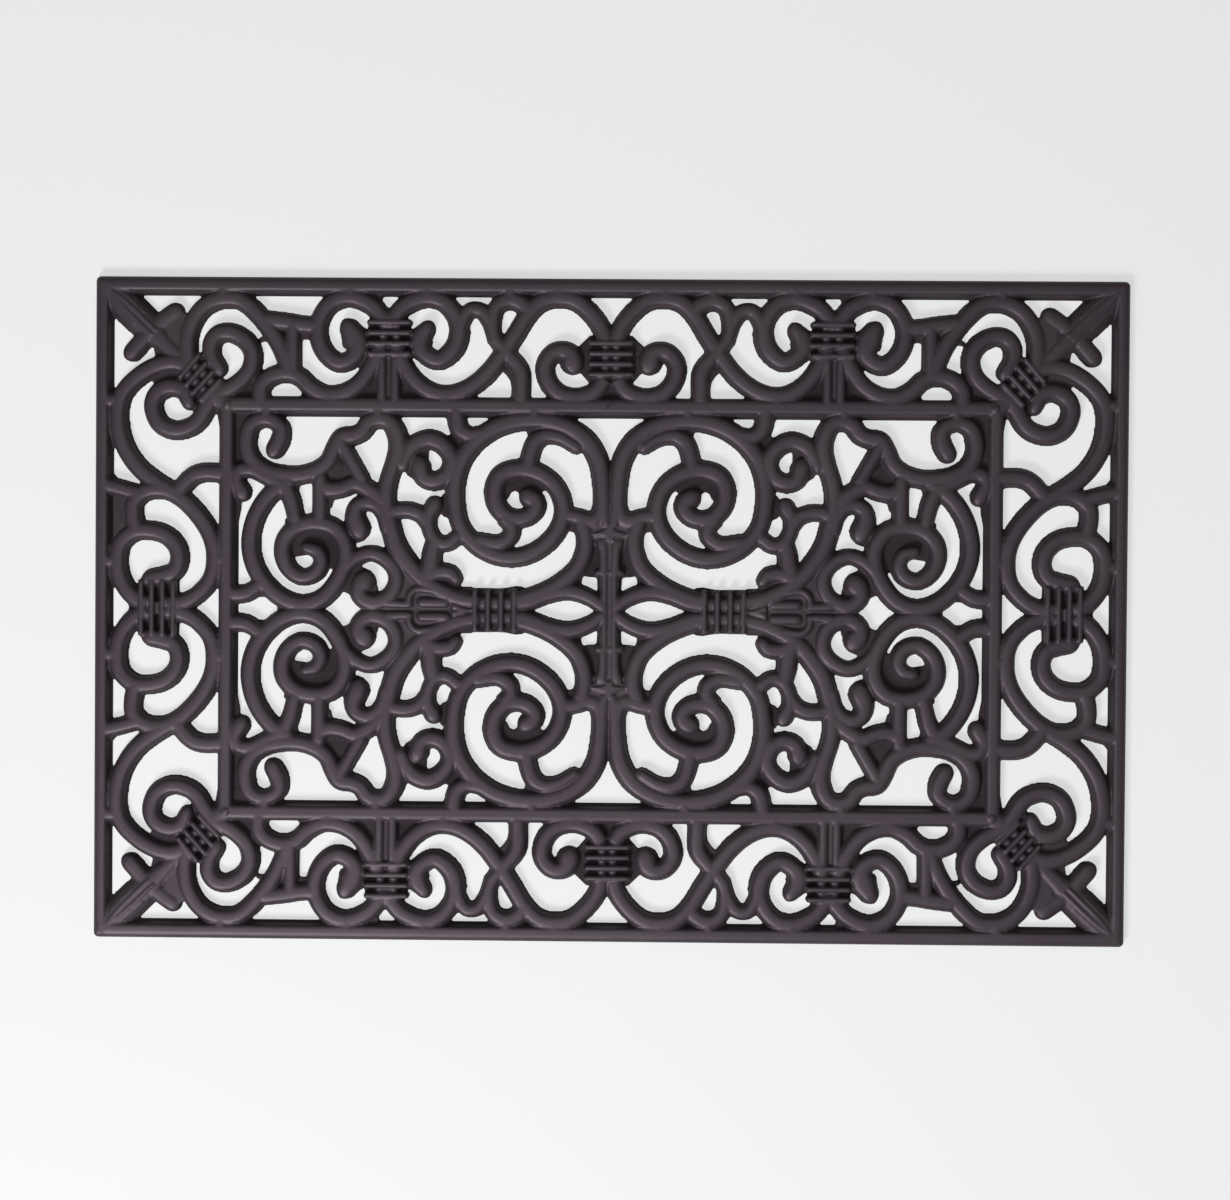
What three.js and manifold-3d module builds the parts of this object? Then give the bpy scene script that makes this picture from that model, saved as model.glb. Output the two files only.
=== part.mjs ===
// Rubber door mat in open scrollwork: two rectangular bars, one inside the other, with scrolls
// between them and a larger scroll panel in the middle. Everything is one moulding, modelled here
// as its members. Millimetres, +Z up, origin in the middle of the underside, +X along the length,
// +Y towards the back edge.
import * as THREE from 'three';
import { mergeVertices } from 'three/addons/utils/BufferGeometryUtils.js';
import Module from 'manifold-3d';

const wasm = await Module();
wasm.setup();

// Driving dimensions
const matLength = 700;
const matWidth = 450;
const strandHeight = 9;
const ribHeight = 9.6;
const webHeight = 4.5;
const cornerRadius = 6;
const edgeRun = 1.4;
const outerBarWidth = 12.4;
const innerBarWidth = 13.6;
const barFlankRun = 2.6;
const sideBorder = 90.5;
const longBorder = 87;
const strandWidth = 13.2;
const strandTopWidth = 8;
const ribWidth = 3.4;
const ribTopWidth = 2;
const chordError = 1.2;
const flatTolerance = 0.25;
const overrun = 5;
const weldDistance = 1e-4;
const samplesPerSpan = 12;
const longestSweep = Math.PI;
const turnClearShare = 0.85;
const buriedShare = 0.5;
// The nose of a free end: how far along, how wide and how high, as shares
const noseShares = [[0.8, 0.55, 0.8]];

// The pattern is drawn once, for the back left quarter. A place in it is a pair of shares: 0 is the
// mat's edge, 1 the inner bar's centreline and 2 the mat's middle, across and then towards the front.
// A third number is the share of strandWidth there, 1 where it is left out.
const strandShares = {
  leafShares: [[0.1, 0.1, 1.1], [0.15, 0.15, 1.45], [0.25, 0.25, 1.75], [0.34, 0.34, 1.75],
    [0.43, 0.43, 1.35], [0.52, 0.52], [0.7, 0.7]],
  leafLobeAShares: [[0.42, 0.4, 0.95], [0.5, 0.335, 0.95], [0.585, 0.272, 0.9]],
  leafLobeBShares: [[0.4, 0.42, 0.95], [0.335, 0.52, 0.95], [0.282, 0.602, 0.95]],
  cornerArcAShares: [[0.7, 0.7], [0.69, 0.52], [0.715, 0.39], [0.79, 0.26], [0.9, 0.185], [1.01, 0.17],
    [1.035, 0.19], [1.062, 0.25], [1.098, 0.37], [1.128, 0.5], [1.15, 0.64], [1.16, 0.73]],
  cornerArcBShares: [[0.7, 0.7], [0.58, 0.672], [0.45, 0.702], [0.3, 0.8], [0.21, 0.915], [0.18, 1.03],
    [0.19, 1.125], [0.23, 1.205], [0.325, 1.302], [0.45, 1.374], [0.63, 1.445]],
  cornerCurlShares: [[0.925, 0.71, 0.85], [0.875, 0.62, 0.95], [0.87, 0.52], [0.92, 0.448],
    [1.005, 0.435], [1.045, 0.5], [1.0625, 0.6], [1.055, 0.73], [1.02, 0.84], [0.9, 0.93], [0.84, 1.01],
    [0.75, 1.093], [0.6, 1.125], [0.48, 1.09], [0.43, 1], [0.47, 0.905], [0.57, 0.86], [0.66, 0.89],
    [0.7, 0.975, 0.85]],
  cornerRootShares: [[0.9, 0.93], [1, 1]],
  tieShares: [[1.1, 0.335], [1.15, 0.352], [1.2, 0.375], [1.24, 0.38]],
  postShares: [[1.17, 0.36, 0.85], [1.169, 0.55, 0.85], [1.17, 0.74, 0.85]],
  lyreArmAShares: [[1.086, 0.97], [1.086, 0.86], [1.107, 0.783], [1.15, 0.745], [1.185, 0.775],
    [1.215, 0.855], [1.255, 0.912], [1.3, 0.9], [1.342, 0.828], [1.368, 0.73], [1.395, 0.58]],
  lyreCurlAShares: [[1.408, 0.33], [1.375, 0.222], [1.318, 0.155], [1.27, 0.197], [1.241, 0.31],
    [1.234, 0.44], [1.25, 0.575], [1.29, 0.667], [1.328, 0.63], [1.343, 0.52], [1.333, 0.45],
    [1.31, 0.395, 0.85]],
  lyreCurlBShares: [[1.428, 0.33], [1.46, 0.22], [1.52, 0.155], [1.565, 0.195], [1.594, 0.31],
    [1.6, 0.42], [1.585, 0.545], [1.547, 0.625], [1.513, 0.59], [1.5, 0.5], [1.505, 0.44],
    [1.519, 0.387, 0.82]],
  lyreArmBShares: [[1.442, 0.58], [1.462, 0.7], [1.492, 0.812], [1.53, 0.886], [1.572, 0.908],
    [1.62, 0.87], [1.67, 0.765], [1.71, 0.62], [1.748, 0.45], [1.785, 0.275], [1.82, 0.18],
    [1.86, 0.152], [1.9, 0.18], [1.94, 0.28], [1.972, 0.41], [1.982, 0.48]],
  lyreStemAShares: [[1.403, 0.6, 0.6], [1.4, 0.78, 0.65], [1.403, 0.95, 0.65]],
  lyreStemBShares: [[1.433, 0.6, 0.6], [1.436, 0.78, 0.65], [1.433, 0.95, 0.65]],
  hookShares: [[1.606, 0.46, 0.85], [1.61, 0.35, 0.85], [1.632, 0.25, 0.85], [1.66, 0.255, 0.85],
    [1.683, 0.345, 0.85], [1.7, 0.48, 0.85], [1.735, 0.605, 0.9], [1.765, 0.72, 0.95],
    [1.769, 0.95, 0.95]],
  loopShares: [[1.698, 0.5, 0.8], [1.69, 0.36, 0.8], [1.702, 0.22, 0.8], [1.735, 0.168, 0.85],
    [1.768, 0.205, 0.9], [1.785, 0.27, 0.9]],
  middleCurlShares: [[1.98, 0.76], [1.957, 0.868], [1.91, 0.92], [1.865, 0.892], [1.836, 0.8],
    [1.828, 0.68], [1.846, 0.58], [1.872, 0.55], [1.893, 0.59], [1.902, 0.68, 0.85]],
  sideArcShares: [[0.32, 1.63], [0.29, 1.55], [0.295, 1.48], [0.37, 1.428], [0.5, 1.41], [0.64, 1.445],
    [0.8, 1.55], [0.885, 1.66], [0.905, 1.76], [0.865, 1.86], [0.75, 1.943], [0.64, 1.978],
    [0.55, 1.985]],
  sideTieShares: [[0.06, 1.4, 0.85], [0.15, 1.415, 0.85], [0.34, 1.44, 0.85]],
  sideArchShares: [[0.62, 1.435], [0.68, 1.375], [0.75, 1.335], [0.84, 1.322], [0.98, 1.33]],
  sideCurlShares: [[0.4, 1.985], [0.29, 1.945], [0.2, 1.865], [0.172, 1.77], [0.2, 1.68], [0.3, 1.625],
    [0.42, 1.614], [0.54, 1.635], [0.625, 1.695], [0.64, 1.765], [0.59, 1.818], [0.5, 1.832],
    [0.425, 1.825]],
  waveShares: [[1.12, 1.2, 0.9], [1.138, 1.165, 0.9], [1.139, 1.115, 0.9], [1.118, 1.076, 0.9],
    [1.09, 1.067, 0.9], [1.062, 1.096, 0.95], [1.048, 1.16], [1.05, 1.225], [1.068, 1.283],
    [1.1, 1.321], [1.14, 1.339], [1.19, 1.341], [1.232, 1.317], [1.262, 1.275], [1.281, 1.2],
    [1.297, 1.155], [1.328, 1.145], [1.351, 1.125], [1.368, 1.083], [1.392, 1.064], [1.42, 1.075],
    [1.439, 1.13], [1.444, 1.2], [1.435, 1.28], [1.419, 1.38], [1.416, 1.48], [1.424, 1.585],
    [1.438, 1.68], [1.468, 1.768], [1.51, 1.85], [1.555, 1.902], [1.603, 1.94], [1.66, 1.962]],
  braceAShares: [[1.289, 1.16, 0.85], [1.318, 1.25, 0.85], [1.35, 1.355, 0.85]],
  ridgeShares: [[1.235, 1.385], [1.27, 1.4], [1.305, 1.392], [1.335, 1.385], [1.37, 1.412],
    [1.41, 1.475]],
  ringPostShares: [[1.242, 1.36, 0.9], [1.2425, 1.46, 0.9], [1.242, 1.56, 0.9]],
  barHookShares: [[1.03, 1.425, 0.95], [1.019, 1.37, 0.9], [1.03, 1.325, 0.9], [1.06, 1.316, 0.9],
    [1.1, 1.35, 0.9], [1.145, 1.4, 0.9], [1.163, 1.46, 0.9], [1.178, 1.56, 0.9]],
  bigRingShares: [[1.155, 1.38], [1.115, 1.43], [1.08, 1.52], [1.062, 1.62], [1.061, 1.71],
    [1.075, 1.8], [1.109, 1.89], [1.153, 1.948], [1.2, 1.967], [1.25, 1.934], [1.287, 1.855],
    [1.308, 1.76], [1.305, 1.67], [1.278, 1.6], [1.228, 1.577], [1.18, 1.6], [1.148, 1.66],
    [1.141, 1.73], [1.155, 1.8, 0.95], [1.19, 1.838, 0.9], [1.225, 1.815, 0.9], [1.236, 1.765, 0.9],
    [1.22, 1.72, 0.9], [1.197, 1.7, 0.75]],
  barTieShares: [[0.99, 1.915, 0.85], [1.02, 1.925, 0.85], [1.05, 1.92, 0.85], [1.095, 1.87, 0.85]],
  stemHookShares: [[1.34, 1.592, 1.2], [1.331, 1.54, 1.1], [1.338, 1.495, 0.95], [1.362, 1.474, 0.9],
    [1.388, 1.487, 0.9], [1.404, 1.53, 0.9], [1.412, 1.6, 0.9]],
  smallRingShares: [[1.318, 1.77, 0.85], [1.338, 1.727, 0.9], [1.375, 1.706], [1.412, 1.732],
    [1.434, 1.795], [1.435, 1.87], [1.415, 1.93], [1.38, 1.954], [1.345, 1.925], [1.34, 1.88, 0.9],
    [1.348, 1.853, 1.1]],
  budStemShares: [[1.345, 1.965, 0.65], [1.4, 1.97, 0.65], [1.46, 1.977, 0.6], [1.575, 1.974, 0.55]],
  budLobeShares: [[1.475, 1.99, 0.65], [1.475, 1.93, 0.65], [1.49, 1.888, 0.65], [1.535, 1.9, 0.65]],
  eyeRingShares: [[1.535, 1.488, 0.95], [1.525, 1.54, 0.85], [1.527, 1.595, 0.85], [1.545, 1.643, 0.85],
    [1.575, 1.655, 0.85], [1.6, 1.62, 0.85]],
  eyeArchShares: [[1.418, 1.53, 0.9], [1.445, 1.513, 0.9], [1.475, 1.511, 0.9], [1.505, 1.532, 0.9],
    [1.522, 1.57, 0.9]],
  leafStemShares: [[1.545, 1.65], [1.536, 1.72], [1.532, 1.79], [1.515, 1.85]],
  smallLeafShares: [[1.52, 1.84], [1.55, 1.815, 0.95], [1.59, 1.82, 0.85]],
  dropShares: [[1.598, 1, 0.9], [1.598, 1.05, 0.9], [1.608, 1.115, 0.9], [1.632, 1.14, 0.9],
    [1.655, 1.13, 0.9]],
  stemRingShares: [[1.475, 1.25], [1.49, 1.185], [1.53, 1.155], [1.567, 1.19], [1.582, 1.265],
    [1.567, 1.337], [1.535, 1.36], [1.507, 1.34], [1.492, 1.3, 0.9]],
  voluteShares: [[1.777, 1.422, 0.9], [1.796, 1.43, 0.95], [1.806, 1.465], [1.8, 1.51], [1.775, 1.542],
    [1.735, 1.537], [1.703, 1.487], [1.693, 1.41], [1.715, 1.34], [1.76, 1.312], [1.805, 1.325],
    [1.848, 1.382], [1.868, 1.465], [1.866, 1.55], [1.842, 1.635], [1.797, 1.707], [1.745, 1.737],
    [1.69, 1.72], [1.64, 1.665], [1.606, 1.585], [1.593, 1.49], [1.592, 1.37], [1.609, 1.255],
    [1.65, 1.158], [1.705, 1.092], [1.765, 1.066], [1.83, 1.075], [1.885, 1.112], [1.93, 1.18],
    [1.96, 1.275], [1.976, 1.39], [1.979, 1.48], [1.968, 1.543], [1.945, 1.562, 0.95],
    [1.915, 1.537, 0.9], [1.88, 1.53, 0.9]],
  voluteBraceShares: [[1.782, 1.31, 0.9], [1.784, 1.23, 0.9], [1.798, 1.165, 0.9], [1.83, 1.137, 0.9],
    [1.865, 1.145, 0.85], [1.9, 1.175, 0.85]],
  voluteHookShares: [[1.725, 1.53, 0.9], [1.739, 1.58, 0.9], [1.735, 1.63, 0.9], [1.71, 1.663, 0.9],
    [1.66, 1.655, 0.9]],
  lensArmShares: [[1.745, 1.957], [1.8, 1.925], [1.862, 1.865], [1.913, 1.78], [1.933, 1.69],
    [1.934, 1.62], [1.926, 1.575]],
  lensEdgeShares: [[1.745, 1.965], [1.79, 1.953], [1.84, 1.918], [1.895, 1.902], [1.945, 1.925],
    [1.985, 1.98]],
  collarBandShares: [[1.64, 1.963], [1.76, 1.963]],
  stemShares: [[1.987, 1.8, 0.6], [1.987, 2, 0.6]],
  tulipShares: [[1.98, 1.8, 0.7], [1.977, 1.73, 0.7], [1.979, 1.665, 0.65]],
  spineTopShares: [[1.982, 1.44, 0.9], [1.985, 1.56, 0.9]],
};

// Low webs that close the small pockets, as outlines
const webShares = {
  cornerCollarShares: [[0.66, 0.72], [0.8, 0.6], [0.94, 0.74], [0.93, 0.9], [0.86, 0.97], [0.76, 0.98],
    [0.68, 0.86]],
  lyreCollarShares: [[1.365, 0.32], [1.472, 0.32], [1.484, 0.6], [1.352, 0.6]],
  lyrePocketsShares: [[1.32, 0.95], [1.385, 0.76], [1.4, 0.6], [1.435, 0.6], [1.45, 0.76],
    [1.515, 0.95]],
  middleCollarShares: [[1.945, 0.44], [2.01, 0.44], [2.01, 0.8], [1.945, 0.8], [1.91, 0.66],
    [1.92, 0.56]],
  sideCollarShares: [[0.32, 1.87], [0.62, 1.85], [0.64, 2.01], [0.32, 2.01]],
  ringPocketShares: [[1.315, 1.925], [1.313, 1.8], [1.35, 1.775], [1.37, 1.8], [1.395, 1.9], [1.37, 1.95]],
  ringLinkShares: [[1.13, 1.95], [1.245, 1.95], [1.245, 2.01], [1.13, 2.01]],
  budPocketShares: [[1.43, 1.97], [1.44, 1.78], [1.46, 1.75], [1.6, 1.93], [1.64, 2.01], [1.35, 2.01],
    [1.36, 1.96]],
  panelCollarShares: [[1.635, 1.885], [1.77, 1.885], [1.79, 1.905], [1.765, 2.01], [1.635, 2.01]],
  spinePocketShares: [[1.93, 1.55], [1.985, 1.48], [1.985, 1.3], [2.01, 1.3], [2.01, 1.83],
    [1.96, 1.82], [1.93, 1.81], [1.935, 1.75]],
  bigRingPocketShares: [[1.16, 1.66], [1.2, 1.6], [1.27, 1.63], [1.28, 1.69], [1.25, 1.74],
    [1.2, 1.68]],
  volutePocketShares: [[1.735, 1.37], [1.76, 1.345], [1.8, 1.345], [1.84, 1.39], [1.825, 1.41],
    [1.79, 1.39], [1.755, 1.4]],
};

// Collars are sets of four ribs laid over the strands: the two ends of the first and the last rib
const collarShares = {
  cornerShares: [[[0.64, 0.79], [0.78, 0.61]], [[0.8, 0.965], [0.945, 0.81]]],
  lyreShares: [[[1.37, 0.33], [1.466, 0.33]], [[1.37, 0.57], [1.466, 0.57]]],
  middleShares: [[[1.945, 0.47], [2.005, 0.47]], [[1.945, 0.73], [2.005, 0.73]]],
  sideShares: [[[0.344, 1.874], [0.344, 2.005]], [[0.579, 1.874], [0.579, 2.005]]],
  panelShares: [[[1.647, 1.888], [1.647, 2.005]], [[1.749, 1.888], [1.749, 2.005]]],
};
const ribsInCollar = 4;

// Where the members meet, as shares across and towards the front
const cornerToLyreShare = 1.135;
const lyreToMiddleShare = 1.72;
const cornerToSideShare = 1.24;
const voluteToOrnamentShare = 1.88;
const voluteToLensShare = 1.84;
const lensFromShare = 1.72;
const ringToOrnamentShare = 1.31;
const voluteToSpineShare = 1.965;

const halfLength = matLength / 2;
const halfWidth = matWidth / 2;

// Turns a pair of shares into a place in the back left quarter
function place(across, towardsFront) {
  const x = across < 1
    ? across * sideBorder
    : sideBorder + (across - 1) * (halfLength - sideBorder);
  const y = towardsFront < 1
    ? towardsFront * longBorder
    : longBorder + (towardsFront - 1) * (halfWidth - longBorder);
  return new THREE.Vector2(x - halfLength, halfWidth - y);
}

function solidOf(geometry) {
  const bare = geometry.clone();
  bare.deleteAttribute('normal');
  bare.deleteAttribute('uv');
  const merged = mergeVertices(bare, weldDistance);
  const mesh = new wasm.Mesh({
    numProp: 3,
    vertProperties: new Float32Array(merged.attributes.position.array),
    triVerts: new Uint32Array(merged.index.array),
  });
  return new wasm.Manifold(mesh);
}

function geometryOf(solid) {
  const mesh = solid.getMesh();
  const geometry = new THREE.BufferGeometry();
  geometry.setAttribute('position', new THREE.BufferAttribute(new Float32Array(mesh.vertProperties), 3));
  geometry.setIndex(new THREE.BufferAttribute(new Uint32Array(mesh.triVerts), 1));
  return geometry;
}

// A closed body between a foot outline at the underside and a top outline of as many points
function taper(foot, top, height) {
  const count = foot.length;
  const positions = [];
  foot.forEach((p) => positions.push(p.x, p.y, 0));
  top.forEach((p) => positions.push(p.x, p.y, height));
  const index = [];
  THREE.ShapeUtils.triangulateShape(foot, []).forEach(([i, j, k]) => {
    index.push(i, k, j);
    index.push(count + i, count + j, count + k);
  });
  for (let i = 0; i < count; i += 1) {
    const next = (i + 1) % count;
    index.push(i, next, count + next);
    index.push(i, count + next, count + i);
  }
  const geometry = new THREE.BufferGeometry();
  geometry.setAttribute('position', new THREE.Float32BufferAttribute(positions, 3));
  geometry.setIndex(index);
  return solidOf(geometry);
}

function counterClockwise(outline) {
  return THREE.ShapeUtils.area(outline) < 0 ? outline.slice().reverse() : outline;
}

function join(solids) {
  let level = solids;
  while (level.length > 1) {
    const next = [];
    for (let i = 0; i < level.length; i += 2) {
      next.push(i + 1 < level.length ? level[i].add(level[i + 1]) : level[i]);
    }
    level = next;
  }
  return level[0];
}

// The course of a strand: close samples of its centreline with the direction and half width there
function courseOf(shares) {
  const points = shares.map(([across, front]) => {
    const p = place(across, front);
    return new THREE.Vector3(p.x, p.y, 0);
  });
  const halves = shares.map((share) => ((share[2] ?? 1) * strandWidth) / 2);
  const curve = new THREE.CatmullRomCurve3(points, false, 'centripetal');
  const spans = points.length - 1;
  const count = spans * samplesPerSpan;
  return Array.from({ length: count + 1 }, (_, i) => {
    const span = Math.min(Math.floor(i / samplesPerSpan), spans - 1);
    return {
      at: curve.getPoint(i / count),
      along: curve.getTangent(i / count),
      half: THREE.MathUtils.lerp(halves[span], halves[span + 1], i / samplesPerSpan - span),
      height: strandHeight,
    };
  });
}

// Leaves out samples for as long as the outer edge stays within the chord error
function thinned(course) {
  const kept = [course[0]];
  let turn = 0;
  let way = 0;
  for (let i = 1; i < course.length - 1; i += 1) {
    const stepTurn = course[i].along.angleTo(course[i + 1].along);
    turn += course[i - 1].along.angleTo(course[i].along);
    way += course[i - 1].at.distanceTo(course[i].at);
    const next = turn + stepTurn;
    if ((next * way + course[i].half * next ** 2) / 8 > chordError) {
      kept.push(course[i]);
      turn = 0;
      way = 0;
    }
  }
  kept.push(course.at(-1));
  return kept;
}

// A free end goes on into a nose that narrows and sinks
function nose(end, sign) {
  return noseShares.map(([alongShare, widthShare, heightShare]) => ({
    at: end.at.clone().addScaledVector(end.along, sign * alongShare * end.half),
    along: end.along,
    half: end.half * widthShare,
    height: end.height * heightShare,
  }));
}

// How far a strand may reach to one side between two stations: short of the point it turns about
function turnLimit(from, to, side) {
  const sine = from.along.x * to.along.y - from.along.y * to.along.x;
  if (side * sine <= 0) {
    return Infinity;
  }
  const way = to.at.clone().sub(from.at);
  return (turnClearShare * Math.min(way.dot(to.along), way.dot(from.along))) / Math.abs(sine);
}

// Four points round a strand at each station: two on the underside and two on the top
function sectionsOf(stations, topShare) {
  return stations.map((station, i) => {
    const corner = (side, share, z) => {
      const before = i > 0 ? turnLimit(stations[i - 1], station, side) : Infinity;
      const after = i < stations.length - 1 ? turnLimit(station, stations[i + 1], side) : Infinity;
      const reach = side * share * Math.min(station.half, before, after);
      return [station.at.x - station.along.y * reach, station.at.y + station.along.x * reach, z];
    };
    return [
      corner(-1, 1, 0),
      corner(1, 1, 0),
      corner(1, topShare, station.height),
      corner(-1, topShare, station.height),
    ];
  });
}

function sweep(sections) {
  const corners = sections[0].length;
  const index = [0, 2, 1, 0, 3, 2];
  for (let i = 1; i < sections.length; i += 1) {
    for (let j = 0; j < corners; j += 1) {
      const next = (j + 1) % corners;
      const near = (i - 1) * corners;
      const far = i * corners;
      index.push(near + j, near + next, far + next);
      index.push(near + j, far + next, far + j);
    }
  }
  const last = (sections.length - 1) * corners;
  index.push(last, last + 1, last + 2, last, last + 2, last + 3);
  const geometry = new THREE.BufferGeometry();
  geometry.setAttribute('position', new THREE.Float32BufferAttribute(sections.flat(2), 3));
  geometry.setIndex(index);
  return solidOf(geometry);
}

// Sweeps a strand in lengths that don't come round to themselves and share their last step
function strandSolid(stations, topShare) {
  const sections = sectionsOf(stations, topShare);
  const lengths = [];
  let first = 0;
  let turn = 0;
  for (let i = 1; i < stations.length; i += 1) {
    turn += stations[i - 1].along.angleTo(stations[i].along);
    if (turn > longestSweep && i < stations.length - 1) {
      lengths.push(sweep(sections.slice(first, i + 1)));
      first = i - 1;
      turn = 0;
    }
  }
  lengths.push(sweep(sections.slice(first)));
  return join(lengths);
}

function inBars(point) {
  const nearBar = (gap, half) => Math.abs(gap) < half;
  const x = halfLength - Math.abs(point.x);
  const y = halfWidth - Math.abs(point.y);
  return x < outerBarWidth || y < outerBarWidth
    || (nearBar(x - sideBorder, innerBarWidth / 2) && y > longBorder - innerBarWidth / 2)
    || (nearBar(y - longBorder, innerBarWidth / 2) && x > sideBorder - innerBarWidth / 2);
}

// Strands end inside another one, inside a bar, across the middle, or in a nose
function strands() {
  const courses = Object.values(strandShares).map(courseOf);
  const isFree = (end, own) => {
    const pastMiddle = end.at.x > -end.half || end.at.y < end.half;
    return !pastMiddle && !inBars(end.at) && !courses.some((course) => course !== own
      && course.some((sample) => sample.at.distanceTo(end.at) < sample.half * buriedShare));
  };
  return courses.map((course) => {
    const stations = thinned(course);
    const [start, end] = [course[0], course.at(-1)];
    if (isFree(start, course)) {
      stations.unshift(...nose(start, -1).reverse());
    }
    if (isFree(end, course)) {
      stations.push(...nose(end, 1));
    }
    return strandSolid(stations, strandTopWidth / strandWidth);
  });
}

function web(shares) {
  const outline = counterClockwise(shares.map(([across, front]) => place(across, front)));
  return taper(outline, outline, webHeight);
}

function collar([first, last]) {
  const ribs = [];
  for (let i = 0; i < ribsInCollar; i += 1) {
    const share = i / (ribsInCollar - 1);
    const ends = [0, 1].map((end) => place(...first[end]).lerp(place(...last[end]), share));
    const along = ends[1].clone().sub(ends[0]).normalize();
    const stations = ends.map((end) => ({
      at: end,
      along,
      half: ribWidth / 2,
      height: ribHeight,
    }));
    ribs.push(strandSolid(stations, ribTopWidth / ribWidth));
  }
  return join(ribs);
}

// A rectangle about the middle, with round corners where a radius is given
function rectangle(halfX, halfY, radius) {
  const shape = new THREE.Shape();
  shape.moveTo(radius - halfX, -halfY);
  shape.absarc(halfX - radius, radius - halfY, radius, -Math.PI / 2, 0);
  shape.absarc(halfX - radius, halfY - radius, radius, 0, Math.PI / 2);
  shape.absarc(radius - halfX, halfY - radius, radius, Math.PI / 2, Math.PI);
  shape.absarc(radius - halfX, radius - halfY, radius, Math.PI, 1.5 * Math.PI);
  const points = shape.getPoints(3);
  points.pop();
  return points;
}

function plainRectangle(halfX, halfY) {
  return [
    new THREE.Vector2(-halfX, -halfY),
    new THREE.Vector2(halfX, -halfY),
    new THREE.Vector2(halfX, halfY),
    new THREE.Vector2(-halfX, halfY),
  ];
}

function outerBars() {
  const outside = taper(
    rectangle(halfLength, halfWidth, cornerRadius),
    rectangle(halfLength - edgeRun, halfWidth - edgeRun, cornerRadius - edgeRun),
    strandHeight,
  );
  const footX = halfLength - outerBarWidth;
  const footY = halfWidth - outerBarWidth;
  const inside = taper(
    plainRectangle(footX, footY),
    plainRectangle(footX + barFlankRun, footY + barFlankRun),
    strandHeight,
  );
  return outside.subtract(inside);
}

function innerBars() {
  const x = halfLength - sideBorder;
  const y = halfWidth - longBorder;
  const half = innerBarWidth / 2;
  const outside = taper(
    plainRectangle(x + half, y + half),
    plainRectangle(x + half - barFlankRun, y + half - barFlankRun),
    strandHeight,
  );
  const inside = taper(
    plainRectangle(x - half, y - half),
    plainRectangle(x - half + barFlankRun, y - half + barFlankRun),
    strandHeight,
  );
  return outside.subtract(inside);
}

function block(x0, x1, y0, y1) {
  const depth = ribHeight + 2 * overrun;
  const geometry = new THREE.BoxGeometry(x1 - x0, y1 - y0, depth);
  geometry.translate((x0 + x1) / 2, (y0 + y1) / 2, depth / 2 - overrun);
  return solidOf(geometry);
}

// The back left quarter of the whole mat, cut flat through the middle both ways
function quarter() {
  const whole = join([
    ...strands(),
    ...Object.values(webShares).map(web),
    ...Object.values(collarShares).map(collar),
    outerBars(),
    innerBars(),
  ]);
  const kept = whole.intersect(block(-halfLength - overrun, 0, 0, halfWidth + overrun));
  return kept.asOriginal().simplify(flatTolerance);
}

// A copy mirrored left to right or back to front
function mirrored(solid, signX, signY) {
  const geometry = geometryOf(solid);
  geometry.scale(signX, signY, 1);
  if (signX * signY < 0) {
    const index = geometry.index.array;
    for (let i = 0; i < index.length; i += 3) {
      [index[i], index[i + 1]] = [index[i + 1], index[i]];
    }
  }
  return solidOf(geometry);
}

const rubber = new THREE.MeshStandardMaterial({ color: 0x3f393c, roughness: 0.88, metalness: 0 });
const doorMat = new THREE.Group();
const quarterMat = quarter();

function addMember(name, solid) {
  const geometry = geometryOf(solid.asOriginal().simplify(flatTolerance));
  geometry.computeVertexNormals();
  const mesh = new THREE.Mesh(geometry, rubber.clone());
  mesh.name = name;
  doorMat.add(mesh);
}

// A box of the back left quarter, given by distances from the middle of the mat
function region(nearX, farX, nearY, farY) {
  return block(-farX, -nearX, nearY, farY);
}

// Planes that part the members
const edgeX = halfLength + overrun;
const edgeY = halfWidth + overrun;
const outerX = halfLength - outerBarWidth;
const outerY = halfWidth - outerBarWidth;
const barOutX = halfLength - sideBorder + innerBarWidth / 2;
const barOutY = halfWidth - longBorder + innerBarWidth / 2;
const barInX = barOutX - innerBarWidth;
const barInY = barOutY - innerBarWidth;
const lyreX = -place(cornerToLyreShare, 1).x;
const middleX = -place(lyreToMiddleShare, 1).x;
const sideY = place(1, cornerToSideShare).y;
const ornamentY = place(1, voluteToOrnamentShare).y;
const lensY = place(1, voluteToLensShare).y;
const lensX = -place(lensFromShare, 1).x;
const ringX = -place(ringToOrnamentShare, 1).x;
const spineX = -place(voluteToSpineShare, 1).x;

// What each member is made of in the quarter, and whether it runs on across the middle
const ornament = region(spineX, ringX, -overrun, ornamentY).add(region(spineX, lensX, -overrun, lensY));
const corner = region(lyreX, outerX, barOutY, outerY).add(region(barOutX, outerX, sideY, outerY));
const volute = join([
  region(ringX, barInX, -overrun, barInY),
  region(lensX, barInX, ornamentY, barInY),
  region(spineX, barInX, lensY, barInY),
]);
const acrossLength = {
  outer_bar: region(-overrun, edgeX, outerY, edgeY),
  inner_bar: region(-overrun, barOutX, barInY, barOutY),
  middle_scroll: region(-overrun, middleX, barOutY, outerY),
};
const acrossWidth = {
  outer_bar: region(outerX, edgeX, -overrun, outerY),
  inner_bar: region(barInX, barOutX, -overrun, barInY),
  side_scroll: region(barOutX, outerX, -overrun, sideY),
  ornament,
};
const fourfold = {
  corner_scroll: corner,
  lyre: region(middleX, lyreX, barOutY, outerY),
  volute,
};
const rows = [['back', 1], ['front', -1]];
const columns = [['left', 1], ['right', -1]];

Object.entries(acrossLength).forEach(([name, cutter]) => {
  const piece = quarterMat.intersect(cutter);
  rows.forEach(([row, y]) => {
    addMember(`${name}_${row}`, mirrored(piece, 1, y).add(mirrored(piece, -1, y)));
  });
});

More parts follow.
